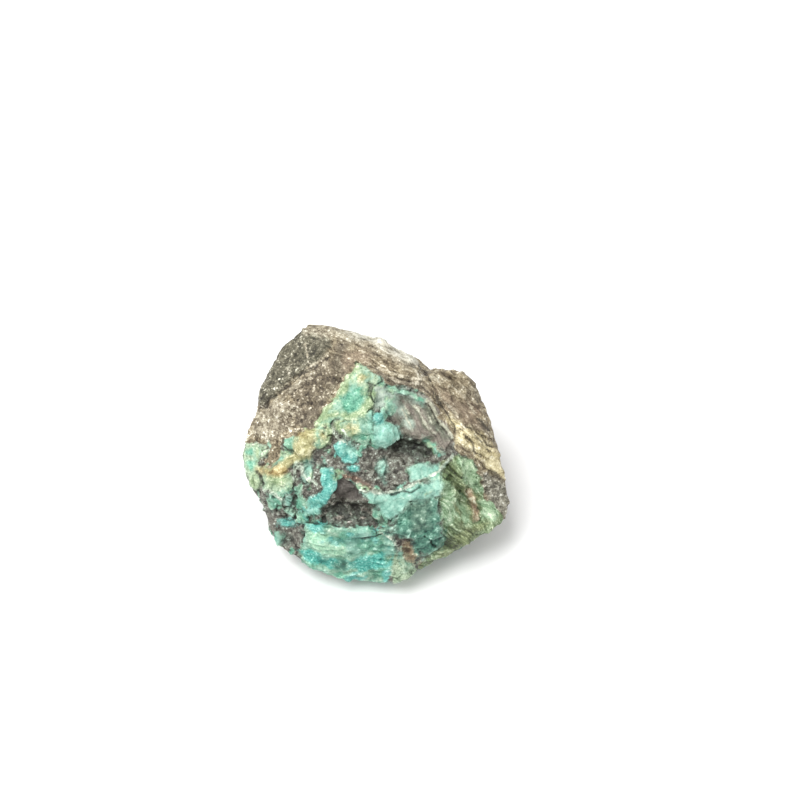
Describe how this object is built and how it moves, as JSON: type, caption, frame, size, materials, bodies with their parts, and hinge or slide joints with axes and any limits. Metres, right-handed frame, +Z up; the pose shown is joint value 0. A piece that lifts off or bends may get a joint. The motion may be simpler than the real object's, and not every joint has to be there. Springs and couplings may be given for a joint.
{
  "type": "chrysocolla specimen",
  "caption": "Rough palm-sized mineral specimen: a broken lump of brown host rock with a turquoise and green chrysocolla crust, resting on a flat break.",
  "frame": {"origin": "bottom centre of the bounding box, in the plane of the flat break that the stone rests on", "axes": "+Z up from the resting break; the face with the crust looks along -Y and up at 60 degrees, and +X is to its right"},
  "size_m": [0.0662, 0.0586, 0.0417],
  "materials": {
    "chrysocolla_rock": "rough broken rock with a satin turquoise and green crust"
  },
  "bodies": {
    "root": {"stone": "chrysocolla_rock"}
  },
  "joints": []
}
